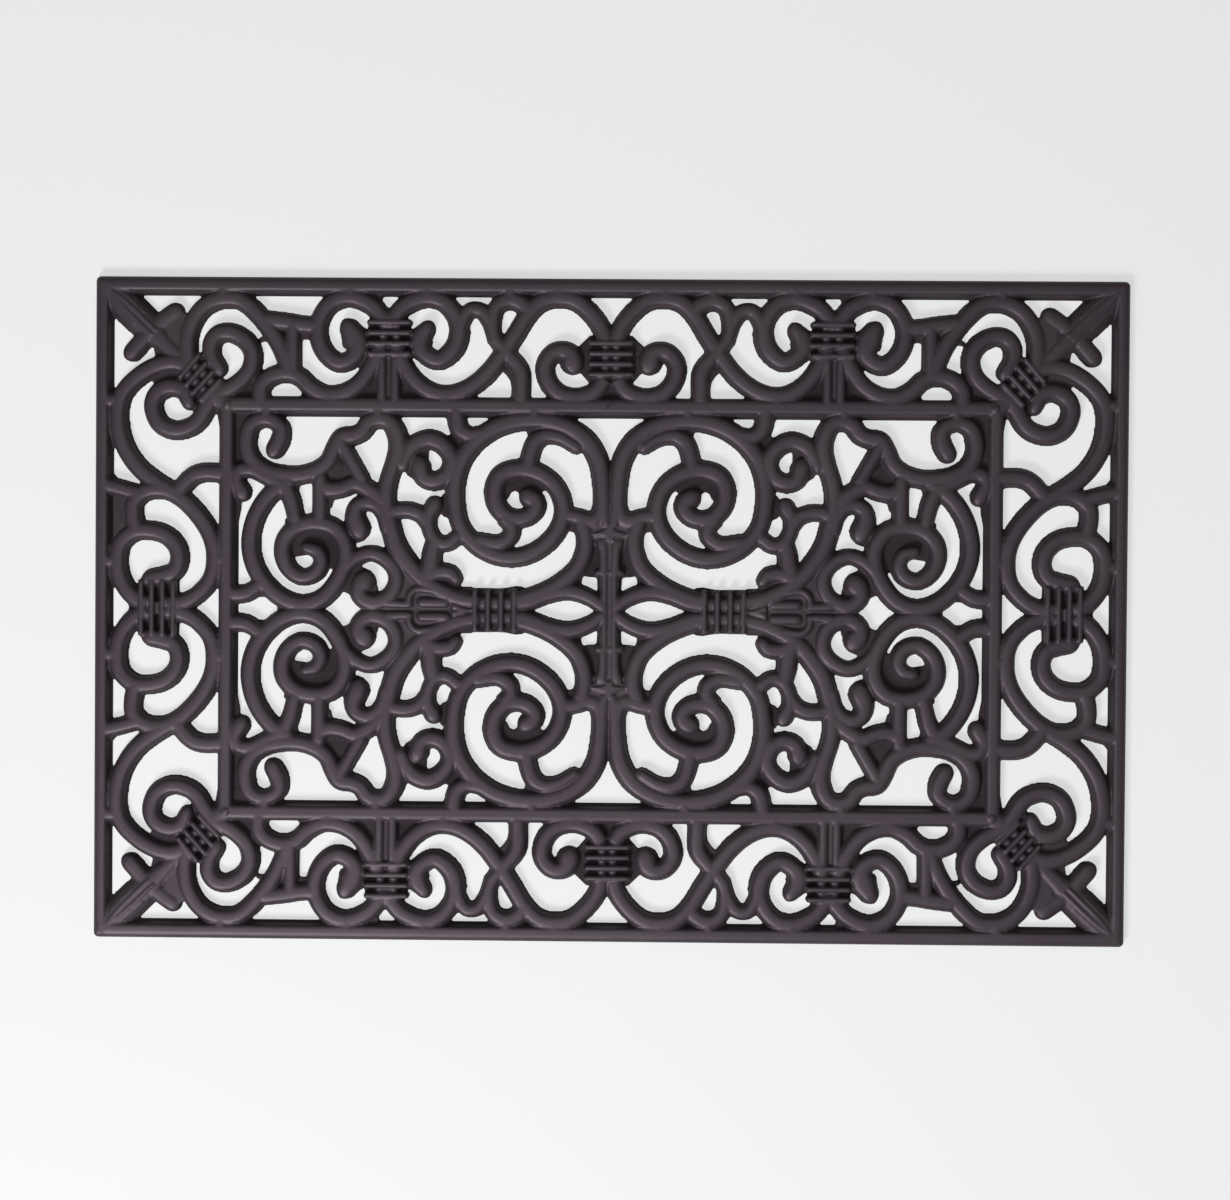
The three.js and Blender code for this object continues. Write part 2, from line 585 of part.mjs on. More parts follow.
Object.entries(acrossWidth).forEach(([name, cutter]) => {
  const piece = quarterMat.intersect(cutter);
  columns.forEach(([column, x]) => {
    addMember(`${name}_${column}`, mirrored(piece, x, 1).add(mirrored(piece, x, -1)));
  });
});

Object.entries(fourfold).forEach(([name, cutter]) => {
  const piece = quarterMat.intersect(cutter);
  rows.forEach(([row, y]) => columns.forEach(([column, x]) => {
    addMember(`${name}_${row}_${column}`, mirrored(piece, x, y));
  }));
});

const spinePiece = quarterMat.intersect(region(-overrun, spineX, -overrun, barInY));
addMember('spine', join([
  mirrored(spinePiece, 1, 1),
  mirrored(spinePiece, -1, 1),
  mirrored(spinePiece, 1, -1),
  mirrored(spinePiece, -1, -1),
]));

export default doorMat;
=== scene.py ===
import math

import bmesh
import bpy
from mathutils import Matrix, Vector
from mathutils.geometry import interpolate_bezier


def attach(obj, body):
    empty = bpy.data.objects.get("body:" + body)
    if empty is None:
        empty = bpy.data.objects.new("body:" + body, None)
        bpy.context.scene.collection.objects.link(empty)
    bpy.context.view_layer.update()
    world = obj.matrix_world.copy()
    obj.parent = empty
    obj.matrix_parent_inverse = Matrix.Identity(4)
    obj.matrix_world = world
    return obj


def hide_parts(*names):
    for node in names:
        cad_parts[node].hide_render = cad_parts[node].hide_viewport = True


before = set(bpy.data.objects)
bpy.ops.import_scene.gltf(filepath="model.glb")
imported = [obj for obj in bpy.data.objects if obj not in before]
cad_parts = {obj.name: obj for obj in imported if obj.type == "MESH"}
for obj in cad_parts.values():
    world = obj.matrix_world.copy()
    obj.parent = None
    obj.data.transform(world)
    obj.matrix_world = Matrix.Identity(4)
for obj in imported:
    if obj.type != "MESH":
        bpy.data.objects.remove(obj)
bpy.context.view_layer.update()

# Outer rim. The rubber mat's flat border, one band all the way round with soft shoulders and round
# outer corners. It comes out of the compression mould together with everything inside it, so each
# section below only lays its shapes into the mould, for the back left quarter of the mat.
MAT_LENGTH = 0.700
MAT_WIDTH = 0.450
RELIEF = 0.009
PAST_MIDDLE = 0.012
SIDE_BORDER = 0.0905
LONG_BORDER = 0.087
RIM_WIDTH = 0.0124
RIM_ROUNDING = 0.0036
RIM_SIDE_SHARE = 0.92
TURN_STEPS = 6
HALF_LENGTH = MAT_LENGTH / 2
HALF_WIDTH = MAT_WIDTH / 2

mould = bmesh.new()


def place(across, front):
    """A place in the back left quarter: 0 the mat's edge, 1 the inner frame, 2 the middle."""
    x = across * SIDE_BORDER if across < 1 else (
        SIDE_BORDER + (across - 1) * (HALF_LENGTH - SIDE_BORDER))
    y = front * LONG_BORDER if front < 1 else (
        LONG_BORDER + (front - 1) * (HALF_WIDTH - LONG_BORDER))
    return Vector((x - HALF_LENGTH, HALF_WIDTH - y, 0.0))


def as_mesh(body, name):
    """The finished body as a mesh."""
    mesh = bpy.data.meshes.new(name)
    body.to_mesh(mesh)
    body.free()
    return mesh


def pour(mesh):
    """Adds a mesh to what the mould holds."""
    mould.from_mesh(mesh)
    bpy.data.meshes.remove(mesh)


def drawn(*points):
    """An outline from its points in millimetres across and up."""
    return [Vector((across / 1000, 0.0, up / 1000)) for across, up in points]


def pushed(outline, stations):
    """The closed body that an outline makes when it is pushed through the stations."""
    body = bmesh.new()
    corners = [body.verts.new(stations[0] @ point) for point in outline]
    edges = [body.edges.new((corners[i - 1], corners[i])) for i in range(len(corners))]
    bmesh.ops.contextual_create(body, geom=edges)
    for before, after in zip(stations, stations[1:]):
        made = bmesh.ops.extrude_edge_only(body, edges=edges)["geom"]
        fresh = {piece for piece in made if isinstance(piece, bmesh.types.BMVert)}
        edges = [piece for piece in made
                 if isinstance(piece, bmesh.types.BMEdge) and set(piece.verts) <= fresh]
        bmesh.ops.transform(body, matrix=after @ before.inverted(), verts=list(fresh))
    bmesh.ops.contextual_create(body, geom=edges)
    bmesh.ops.recalc_face_normals(body, faces=body.faces)
    return as_mesh(body, "pushed")


def station(at, along, wide=1.0, tall=1.0):
    """Turns an outline drawn across and up into its place on a run."""
    along = along.normalized()
    across = Vector((along.y, -along.x, 0.0)) * wide
    return Matrix(((across.x, along.x, 0.0, at.x), (across.y, along.y, 0.0, at.y),
                   (0.0, 0.0, tall, 0.0), (0.0, 0.0, 0.0, 1.0)))


def outwards(along):
    """The way to the outer side of a run."""
    return Vector((along.y, -along.x, 0.0)).normalized()


def band(start, corner, end, outline, rounding, thin):
    """Lays a bar that runs to a corner, turns it and thins to the given share on its way on."""
    first, last = (corner - start).normalized(), (end - corner).normalized()
    outer = max(point.x for point in outline)
    reach = outer - rounding
    pivot = corner + (outwards(first) + outwards(last)) * reach
    line = [(start, first, 0.0)]
    for turn in range(TURN_STEPS + 1):
        along = first.lerp(last, turn / TURN_STEPS).normalized()
        line.append((pivot - outwards(along) * reach, along, turn / TURN_STEPS))
    line.append((end, last, 1.0))
    pour(pushed(outline, [station(at + outwards(along) * outer * (1 - thin) * share, along,
                                  1 - (1 - thin) * share) for at, along, share in line]))


RIM_OUTLINE = drawn(
    (-7.2, 0), (-6.6, 1.0), (-5.7, 2.6), (-4.9, 4.6), (-4.3, 6.6), (-3.7, 7.9), (-3.0, 8.7),
    (-2.0, 9.0), (0.6, 9.0), (2.0, 8.85), (3.4, 8.4), (4.6, 7.5), (5.5, 6.0), (6.0, 4.0), (6.2, 0))
rim_line = Vector((HALF_LENGTH - RIM_WIDTH / 2, HALF_WIDTH - RIM_WIDTH / 2, 0.0))
band(Vector((PAST_MIDDLE, rim_line.y, 0)), Vector((-rim_line.x, rim_line.y, 0)),
     Vector((-rim_line.x, -PAST_MIDDLE, 0)), RIM_OUTLINE, RIM_ROUNDING, RIM_SIDE_SHARE)

# Inner frame. The rectangle of bars round the scroll panel, a little wider than the rim, moulded
# with the same soft shoulders and with a small pip on each corner.
FRAME_WIDTH = 0.0136
FRAME_ROUNDING = 0.0066
FRAME_SIDE_SHARE = 0.95
FRAME_OUTLINE = drawn(
    (-7.7, 0), (-7.0, 1.1), (-6.1, 2.8), (-5.3, 4.8), (-4.7, 6.7), (-4.0, 8.0), (-3.1, 8.8),
    (-2.0, 9.0), (2.0, 9.0), (3.5, 8.75), (4.8, 7.9), (5.7, 6.2), (6.3, 3.6), (6.6, 0))
PIP_FOOT = 0.0032
PIP_TOP = 0.0020
PIP_HEIGHT = 0.0020
PIP_LEVEL = 0.0089
frame_corner = place(1, 1)
band(Vector((PAST_MIDDLE, frame_corner.y, 0)), frame_corner,
     Vector((frame_corner.x, -PAST_MIDDLE, 0)), FRAME_OUTLINE, FRAME_ROUNDING, FRAME_SIDE_SHARE)
pip = bmesh.new()
bmesh.ops.create_cone(pip, cap_ends=True, segments=24, radius1=PIP_FOOT, radius2=PIP_TOP,
                      depth=PIP_HEIGHT,
                      matrix=Matrix.Translation(frame_corner + Vector((0, 0, PIP_LEVEL))))
pour(as_mesh(pip, "pip"))

# Corner scrolls. A grooved leaf grows out of each corner of the rim and throws out two short
# lobes. At its tip two arcs spring over to the neighbouring scrolls, and a tight double curl is
# tied to them by a collar of four ribs. Low skins of rubber close the smallest pockets.
STRAND_WIDTH = 0.0145
WEB_HEIGHT = 0.0042
DEEP_WEB = 0.003
LEAF_POCKET = 0.0072
UNDER_COLLAR = 0.84
RIB_WIDE = 1.22
STEP = 0.0018
NOSE_TURNS = (0.35, 0.7, 1.0, 1.25, 1.45)
NOSE_LOW = 0.6
STRAND_OUTLINE = [Vector((across * STRAND_WIDTH / 2, 0.0, up * RELIEF)) for across, up in (
    (-1, 0), (-0.945, 0.12), (-0.885, 0.32), (-0.82, 0.54), (-0.73, 0.73), (-0.61, 0.87),
    (-0.45, 0.955), (-0.24, 0.993), (0, 1), (0.24, 0.993), (0.45, 0.955), (0.61, 0.87),
    (0.73, 0.73), (0.82, 0.54), (0.885, 0.32), (0.945, 0.12), (1, 0))]
RIB_OUTLINE = drawn((-1.7, 0), (-1.6, 7.2), (-1.35, 8.8), (-0.7, 9.5), (0.7, 9.5), (1.35, 8.8),
                    (1.6, 7.2), (1.7, 0))


def run(shares):
    """Close points along one smooth curve through the places, with the width share at each."""
    spots = [place(share[0], share[1]) for share in shares]
    wides = [share[2] if len(share) > 2 else 1.0 for share in shares]
    spots = [2 * spots[0] - spots[1], *spots, 2 * spots[-1] - spots[-2]]
    points = []
    for i in range(1, len(spots) - 2):
        before, start, end, after = spots[i - 1:i + 3]
        gap_a, gap_b, gap_c = ((q - p).length ** 0.5 for p, q in (
            (before, start), (start, end), (end, after)))
        leave = ((start - before) / gap_a - (end - before) / (gap_a + gap_b)
                 + (end - start) / gap_b) * gap_b
        arrive = ((end - start) / gap_b - (after - start) / (gap_b + gap_c)
                  + (after - end) / gap_c) * gap_b
        count = max(2, round((end - start).length / STEP)) + 1
        bend = interpolate_bezier(start, start + leave / 3, end - arrive / 3, end, count)
        for j, at in enumerate(bend[:-1]):
            share = j / (count - 1)
            points.append((at, wides[i - 1] * (1 - share) + wides[i] * share))
    points.append((spots[-2], wides[-1]))
    return points


def strand(*shares, free="", tall=1.0, outline=STRAND_OUTLINE):
    """Lays a strand along a curve, with a round nose on each free end."""
    points = run(shares)
    half = max(point.x for point in outline)
    stations = []
    for i, (at, wide) in enumerate(points):
        along = points[min(i + 1, len(points) - 1)][0] - points[max(i - 1, 0)][0]
        stations.append(station(at, along, wide, tall))
    for end in free.split():
        at, wide = points[0 if end == "start" else -1]
        away = at - points[1 if end == "start" else -2][0]
        away.normalize()
        facing = -away if end == "start" else away
        nose = [station(at + away * half * wide * math.sin(turn), facing, wide * math.cos(turn),
                        tall * (NOSE_LOW + (1 - NOSE_LOW) * math.cos(turn)))
                for turn in NOSE_TURNS]
        stations = nose[::-1] + stations if end == "start" else stations + nose
    pour(pushed(outline, stations))


def skin_over(shares, tall):
    """A flat body over a patch of floor."""
    return pushed([place(*share) for share in shares],
                  [Matrix(), Matrix.Translation((0, 0, tall))])


def web(*shares, tall=WEB_HEIGHT):
    """Lays a low skin of rubber that closes a pocket between the strands."""
    pour(skin_over(shares, tall))


def collar(first, last):
    """Lays four narrow ribs over the strands, given the two ends of the first and of the last."""
    for share in (0, 1 / 3, 2 / 3, 1):
        ends = [tuple(a + (b - a) * share for a, b in zip(*pair)) for pair in zip(first, last)]
        strand(*((*end, RIB_WIDE) for end in ends), outline=RIB_OUTLINE, free="start end")


strand((0.07, 0.07, 1), (0.14, 0.14, 1.5), (0.25, 0.25, 1.72), (0.36, 0.36, 1.66),
       (0.44, 0.44, 1.4), (0.5, 0.5, 1.12), (0.6, 0.6, 0.92), (0.72, 0.72), tall=0.93)
for start, middle, end, top in (((0.1, 0.075), (0.22, 0.15), (0.375, 0.29), 0.88),
                                ((0.1, 0.095), (0.25, 0.22), (0.46, 0.425), 0.95),
                                ((0.095, 0.1), (0.22, 0.25), (0.425, 0.46), 0.95),
                                ((0.075, 0.1), (0.15, 0.22), (0.29, 0.375), 0.88)):
    strand((*start, 0.8), (*middle, 1.2), (*end, 0.8), outline=RIB_OUTLINE, tall=top,
           free="start end")
strand((0.455, 0.385), (0.53, 0.325, 1.02), (0.588, 0.282, 1.02), tall=0.9, free="end")
strand((0.385, 0.455), (0.325, 0.53, 1.02), (0.278, 0.585, 1.02), tall=0.9, free="end")
strand((0.7, 0.7), (0.69, 0.52), (0.715, 0.39), (0.79, 0.26), (0.9, 0.185), (1.01, 0.17),
       (1.035, 0.19), (1.062, 0.25), (1.098, 0.37), (1.128, 0.5), (1.15, 0.64), (1.16, 0.73))
strand((0.7, 0.7), (0.58, 0.672), (0.45, 0.702), (0.3, 0.8), (0.205, 0.915), (0.172, 1.03),
       (0.182, 1.125), (0.222, 1.21), (0.32, 1.305), (0.45, 1.374), (0.63, 1.445))
strand((0.925, 0.71, 0.9), (0.875, 0.62, 0.95), (0.87, 0.52), (0.92, 0.448), (1.005, 0.435),
       (1.045, 0.5), (1.0625, 0.6), (1.055, 0.73), (1.02, 0.84), (0.9, 0.93), (0.84, 1.01),
       (0.75, 1.093), (0.6, 1.125), (0.48, 1.09), (0.43, 1), (0.47, 0.905), (0.57, 0.86),
       (0.66, 0.89), (0.7, 0.975, 0.85), free="start end")
strand((0.88, 0.92, 1.1), (1, 1, 1.2))
for shift in (-0.03, 0.03):
    strand((0.66 + shift, 0.66 - shift, 0.55), (0.93 + shift, 0.93 - shift, 0.55),
           tall=UNDER_COLLAR)
web((0.66, 0.72), (0.8, 0.6), (0.94, 0.74), (0.93, 0.9), (0.86, 0.97), (0.76, 0.98),
    (0.68, 0.86), tall=DEEP_WEB)
web((0.53, 0.4), (0.6, 0.33), (0.645, 0.26), (0.72, 0.33), (0.72, 0.6), (0.6, 0.6),
    tall=LEAF_POCKET)
web((0.43, 0.55), (0.5, 0.54), (0.6, 0.6), (0.6, 0.68), (0.45, 0.66))
web((0.4, 0.81), (0.45, 0.74), (0.55, 0.7), (0.7, 0.72), (0.7, 0.84), (0.5, 0.86))
web((1.078, 0.475), (1.1, 0.45), (1.121, 0.484), (1.085, 0.508))
web((0.9, 1), (0.93, 0.95), (0.95, 1.15), (0.925, 1.1), tall=DEEP_WEB)
collar(((0.645, 0.785), (0.785, 0.615)), ((0.8, 0.965), (0.945, 0.81)))

# Lyres. Beside each corner two arms swing up from the inner frame, curl apart under the rim and
# are tied by a ribbed collar. Two thin stems stand between them, and posts on both sides.
COLLAR_BED = 0.0025
STEM_BED = 0.0066
POST_POCKET = 0.002
strand((1.1, 0.335), (1.15, 0.352), (1.2, 0.375), (1.24, 0.38))
strand((1.17, 0.36, 0.85), (1.169, 0.55, 0.85), (1.17, 0.74, 0.85))
strand((1.086, 0.97), (1.086, 0.86), (1.107, 0.783), (1.15, 0.745), (1.185, 0.775),
       (1.215, 0.855), (1.255, 0.912), (1.3, 0.9), (1.342, 0.828), (1.368, 0.73), (1.395, 0.58),
       free="end")
strand((1.408, 0.33), (1.375, 0.222), (1.318, 0.155), (1.27, 0.197), (1.241, 0.31),
       (1.234, 0.44), (1.25, 0.575), (1.288, 0.663), (1.323, 0.63), (1.338, 0.55, 1.3),
       (1.329, 0.47, 1.45), (1.317, 0.405, 1.1), free="start end")
strand((1.428, 0.33), (1.46, 0.22), (1.52, 0.155), (1.565, 0.195), (1.595, 0.31),
       (1.603, 0.42, 1.08), (1.59, 0.548, 1.1), (1.55, 0.64), (1.514, 0.593), (1.501, 0.53, 1.2),
       (1.504, 0.46, 1.2), (1.518, 0.4, 0.9), free="start end")
strand((1.442, 0.58), (1.462, 0.7), (1.492, 0.812), (1.53, 0.886), (1.572, 0.908), (1.62, 0.87),
       (1.67, 0.765), (1.71, 0.62), (1.748, 0.45), (1.785, 0.275), (1.82, 0.18), (1.86, 0.152),
       (1.904, 0.172), (1.946, 0.267), (1.977, 0.4), (1.984, 0.48), free="start")
for side in (1.4025, 1.437):
    strand((side, 0.65, 0.6), (side, 0.8, 0.62), (side, 0.96, 0.62), free="start")
    strand((side + 0.003, 0.3, 0.55), (side + 0.003, 0.62, 0.55), tall=UNDER_COLLAR)
strand((1.606, 0.46, 0.85), (1.61, 0.35, 0.85), (1.632, 0.25, 0.85), (1.66, 0.255, 0.85),
       (1.683, 0.345, 0.85), (1.7, 0.48, 0.85), (1.735, 0.605, 0.9), (1.763, 0.72, 1.0),
       (1.765, 0.95, 1.0))
strand((1.698, 0.5, 0.8), (1.69, 0.36, 0.9), (1.702, 0.22, 0.9), (1.735, 0.168, 1.0),
       (1.768, 0.205, 1.0), (1.785, 0.27, 0.95))
web((1.365, 0.32), (1.475, 0.32), (1.484, 0.62), (1.356, 0.62), tall=COLLAR_BED)
web((1.32, 0.95), (1.385, 0.76), (1.4, 0.6), (1.44, 0.6), (1.455, 0.76), (1.515, 0.95),
    tall=DEEP_WEB)
web((1.02, 0.88), (1.08, 0.76), (1.09, 0.96), (1, 0.97), tall=DEEP_WEB)
web((1.11, 0.36), (1.16, 0.36), (1.16, 0.58), tall=POST_POCKET)
web((1.185, 0.4), (1.23, 0.4), (1.222, 0.485), (1.19, 0.485))
web((1.19, 0.9), (1.21, 0.87), (1.25, 0.95), (1.19, 0.97), tall=DEEP_WEB)
web((1.38, 0.1), (1.4, 0.1), (1.402, 0.17), (1.39, 0.2))
web((1.684, 0.1), (1.7, 0.1), (1.7, 0.16), (1.69, 0.16))
web((1.67, 0.4), (1.7, 0.38), (1.7, 0.5), (1.68, 0.5))
web((1.715, 0.72), (1.76, 0.66), (1.765, 0.9), (1.741, 0.87), (1.737, 0.8), (1.727, 0.755))
web((1.405, 0.6), (1.435, 0.6), (1.435, 0.96), (1.405, 0.96), tall=STEM_BED)
collar(((1.37, 0.352), (1.474, 0.352)), ((1.37, 0.597), (1.474, 0.597)))

# Middle scroll of the long border. The arms of two lyres lean together under the rim and curl
# back from a shared collar.
TIE_BED = 0.0035
strand((1.984, 0.78), (1.961, 0.872), (1.913, 0.924), (1.866, 0.894), (1.836, 0.8), (1.828, 0.68),
       (1.845, 0.59), (1.87, 0.56), (1.893, 0.59, 1.15), (1.899, 0.643, 1.3), free="end")
strand((1.986, 0.4, 0.55), (1.986, 0.8, 0.55), tall=UNDER_COLLAR)
web((1.945, 0.44), (2.01, 0.44), (2.01, 0.8), (1.94, 0.8), (1.91, 0.7), (1.91, 0.54),
    tall=TIE_BED)
web((1.985, 0.8), (2.01, 0.8), (2.01, 0.97), (1.955, 0.97), (1.96, 0.9), tall=DEEP_WEB)
collar(((1.947, 0.505), (2.005, 0.505)), ((1.947, 0.748), (2.005, 0.748)))

# Side scroll of the short border. An S of strands hangs between the rim and the inner frame, and
# its curl is tied to the one that comes up from the front by an upright collar.
TIE_CORE = 0.0072
strand((0.32, 1.63), (0.29, 1.55), (0.295, 1.48), (0.37, 1.43), (0.5, 1.416), (0.634, 1.451),
       (0.793, 1.555), (0.882, 1.66), (0.905, 1.76), (0.87, 1.86, 0.95), (0.755, 1.943, 0.94),
       (0.64, 1.978), (0.55, 1.985))
strand((0.06, 1.394, 0.88), (0.15, 1.407, 0.92), (0.34, 1.44, 0.9))
strand((0.62, 1.435), (0.68, 1.382), (0.75, 1.344), (0.84, 1.331), (0.98, 1.338))
strand((0.4, 1.985), (0.29, 1.945), (0.2, 1.865), (0.172, 1.77), (0.2, 1.68), (0.3, 1.625),
       (0.42, 1.62), (0.535, 1.643), (0.616, 1.7), (0.632, 1.768), (0.595, 1.82), (0.515, 1.842),
       (0.43, 1.854, 1), free="end")
web((0.32, 1.86), (0.63, 1.85), (0.64, 2.01), (0.32, 2.01), tall=COLLAR_BED)
web((0.4, 1.97), (0.56, 1.97), (0.56, 2.01), (0.4, 2.01), tall=TIE_CORE)
web((0.1, 1.39), (0.125, 1.39), (0.16, 1.36), (0.135, 1.34))
web((0.12, 1.8), (0.2, 1.84), (0.36, 1.9), (0.36, 2.01), (0.255, 2.01), (0.235, 1.955),
    (0.2, 1.905), (0.13, 1.855), tall=DEEP_WEB)
web((0.86, 1.345), (0.94, 1.345), (0.94, 1.41), (0.925, 1.388), (0.895, 1.372), tall=DEEP_WEB)
collar(((0.357, 1.872), (0.357, 2.005)), ((0.598, 1.872), (0.598, 2.005)))

# Scroll panel. Waves, rings and a large volute fill each quarter of the inner frame, in strands
# that grow into each other.
RING_BED = 0.0036
strand((1.123, 1.213, 1.02), (1.135, 1.17, 1.05), (1.139, 1.115, 0.95), (1.118, 1.076, 0.9),
       (1.09, 1.067, 0.9), (1.062, 1.096, 0.95), (1.05, 1.16), (1.052, 1.225), (1.07, 1.283),
       (1.1, 1.321), (1.14, 1.339), (1.19, 1.341), (1.232, 1.317), (1.262, 1.275), (1.281, 1.2),
       (1.297, 1.155), (1.328, 1.145), (1.351, 1.125), (1.368, 1.083), (1.392, 1.064),
       (1.42, 1.075), (1.44, 1.13, 1.08), (1.445, 1.2, 1.05), (1.435, 1.28), (1.419, 1.38),
       (1.416, 1.48), (1.426, 1.585, 1.08), (1.441, 1.68, 1.12), (1.471, 1.768, 1.12),
       (1.511, 1.85), (1.555, 1.902), (1.603, 1.94), (1.66, 1.962, 0.8), free="start")
strand((1.289, 1.16, 0.85), (1.318, 1.25, 0.85), (1.35, 1.355, 0.85), free="end")
strand((1.235, 1.385), (1.268, 1.412), (1.302, 1.405, 0.94), (1.335, 1.383, 0.94), (1.37, 1.412),
       (1.41, 1.475))
strand((1.242, 1.36, 0.9), (1.2425, 1.46, 0.9), (1.242, 1.56, 0.9), free="start")
strand((1.036, 1.425), (1.022, 1.37, 0.9), (1.03, 1.325, 0.9), (1.06, 1.316, 0.9),
       (1.1, 1.35, 0.9), (1.147, 1.4, 0.98), (1.165, 1.46, 0.98), (1.178, 1.56, 0.9),
       free="start end")
strand((1.155, 1.38), (1.115, 1.43), (1.08, 1.52), (1.062, 1.62), (1.06, 1.71), (1.073, 1.8),
       (1.105, 1.89), (1.15, 1.955), (1.2, 1.977), (1.25, 1.945), (1.289, 1.86), (1.31, 1.76),
       (1.306, 1.67), (1.278, 1.6), (1.228, 1.577), (1.18, 1.6), (1.15, 1.66), (1.145, 1.73),
       (1.16, 1.8, 0.95), (1.195, 1.843, 0.9), (1.232, 1.82, 0.9), (1.246, 1.765, 0.9),
       (1.234, 1.715, 0.85), (1.21, 1.7, 0.7), free="start end")
strand((0.99, 1.92, 0.95), (1.02, 1.93, 0.95), (1.05, 1.924, 0.95), (1.095, 1.87, 0.85))
strand((1.343, 1.6, 1.2), (1.333, 1.545, 1.1), (1.338, 1.497, 0.95), (1.362, 1.474, 0.9),
       (1.388, 1.487, 0.88), (1.406, 1.53, 0.82), (1.417, 1.6, 0.8), free="start end")
strand((1.305, 1.81, 0.75), (1.336, 1.75, 0.85), (1.375, 1.724, 0.85), (1.412, 1.75, 0.88),
       (1.439, 1.805, 0.92), (1.443, 1.87, 0.94), (1.423, 1.937, 0.95), (1.38, 1.967),
       (1.349, 1.935), (1.346, 1.895, 1.1), (1.355, 1.87, 1.3), free="end")
strand((1.54, 1.488), (1.527, 1.54, 0.85), (1.528, 1.6, 0.85), (1.546, 1.66, 0.85),
       (1.575, 1.674, 0.85), (1.602, 1.64, 0.85), free="start end")
strand((1.418, 1.53, 0.9), (1.445, 1.513, 0.9), (1.475, 1.511, 0.9), (1.505, 1.532, 0.9),
       (1.522, 1.57, 0.9))
strand((1.598, 1, 0.9), (1.597, 1.05, 1.02), (1.606, 1.11, 1.02), (1.632, 1.14, 0.9),
       (1.674, 1.128, 0.9))
strand((1.46, 1.285, 0.75), (1.471, 1.235, 0.95), (1.49, 1.187, 1.05), (1.53, 1.162, 1.05),
       (1.568, 1.2), (1.586, 1.27), (1.572, 1.337), (1.54, 1.367), (1.512, 1.348),
       (1.503, 1.3, 1.1), free="start end")
strand((1.791, 1.445, 1.1), (1.8, 1.455, 1.1), (1.808, 1.482, 1.05), (1.8, 1.518), (1.775, 1.545),
       (1.735, 1.54), (1.706, 1.487, 1.05), (1.698, 1.41, 1.1), (1.715, 1.336, 1.08),
       (1.76, 1.306, 1.08), (1.808, 1.321, 1.06), (1.852, 1.376), (1.876, 1.462), (1.876, 1.55),
       (1.852, 1.638), (1.803, 1.712), (1.748, 1.741), (1.69, 1.722), (1.642, 1.665),
       (1.61, 1.585, 0.98), (1.597, 1.49), (1.596, 1.37, 1.05), (1.614, 1.258, 1.08),
       (1.653, 1.164, 1.08), (1.706, 1.098, 1.08), (1.766, 1.068, 1.05), (1.83, 1.068),
       (1.889, 1.099, 1.06), (1.939, 1.166, 1.1), (1.969, 1.263, 1.08), (1.979, 1.388),
       (1.98, 1.48), (1.969, 1.54), (1.945, 1.556, 1), (1.915, 1.537, 0.9), (1.88, 1.53, 0.9),
       free="start end")
strand((1.785, 1.31), (1.792, 1.23), (1.806, 1.168), (1.835, 1.14, 0.9), (1.872, 1.153, 0.8),
       (1.91, 1.195, 0.75), free="end")
strand((1.725, 1.54), (1.744, 1.59, 0.95), (1.74, 1.635, 0.95), (1.712, 1.668, 0.9),
       (1.66, 1.66, 0.9), free="end")
web((1.315, 1.925), (1.313, 1.8), (1.35, 1.79), (1.375, 1.81), (1.395, 1.9), (1.37, 1.95))
web((1.13, 1.95), (1.245, 1.95), (1.245, 2.01), (1.13, 2.01))
web((1.16, 1.66), (1.2, 1.6), (1.27, 1.63), (1.28, 1.69), (1.25, 1.74), (1.21, 1.735),
    (1.165, 1.748), tall=DEEP_WEB)
web((1.25, 1.64), (1.28, 1.66), (1.3, 1.8), (1.268, 1.8), (1.252, 1.72), tall=DEEP_WEB)
web((1.725, 1.45), (1.735, 1.36), (1.8, 1.345), (1.84, 1.39), (1.83, 1.41), (1.79, 1.44),
    (1.77, 1.44), (1.763, 1.425), (1.752, 1.412), (1.741, 1.421), (1.734, 1.45), tall=RING_BED)
web((1, 1.02), (1.04, 1.02), (1.025, 1.16), (1.035, 1.3), (1, 1.3), tall=DEEP_WEB)
web((1.28, 1.24), (1.335, 1.37), (1.25, 1.4), (1.25, 1.3))
web((1.575, 1.14), (1.6, 1.13), (1.63, 1.16), (1.6, 1.25), (1.575, 1.2), tall=DEEP_WEB)
web((1.775, 1.09), (1.82, 1.1), (1.81, 1.14), (1.785, 1.15))
web((1.88, 1.54), (1.93, 1.54), (1.915, 1.62), (1.895, 1.61))
web((1.4, 1.42), (1.42, 1.42), (1.42, 1.48), (1.39, 1.44))
web((1.485, 1.22), (1.525, 1.19), (1.525, 1.26), (1.515, 1.31), (1.49, 1.32), tall=DEEP_WEB)
web((1.56, 1.43), (1.6, 1.43), (1.6, 1.56), (1.585, 1.555), (1.562, 1.54), tall=DEEP_WEB)
web((1.24, 1.42), (1.28, 1.44), (1.272, 1.5), (1.24, 1.52))
web((1.148, 1.56), (1.17, 1.55), (1.17, 1.6), (1.15, 1.6))
web((1.33, 1.66), (1.345, 1.64), (1.36, 1.66), (1.34, 1.675), tall=DEEP_WEB)
web((1.275, 1.87), (1.34, 1.87), (1.335, 1.94), (1.317, 1.926), (1.3, 1.912), (1.284, 1.922),
    (1.27, 1.935))
web((1.06, 1.91), (1.1, 1.88), (1.15, 1.95), (1.135, 1.962), (1.1, 1.943), (1.065, 1.948))
web((1.17, 1.37), (1.202, 1.365), (1.189, 1.388), (1.184, 1.42), (1.17, 1.43))
web((1.44, 1.25), (1.49, 1.25), (1.5, 1.37), (1.483, 1.357), (1.468, 1.34), (1.458, 1.3),
    tall=DEEP_WEB)
web((1.02, 1.02), (1.07, 1.02), (1.065, 1.07), (1.04, 1.1), (1.02, 1.1), tall=RING_BED)
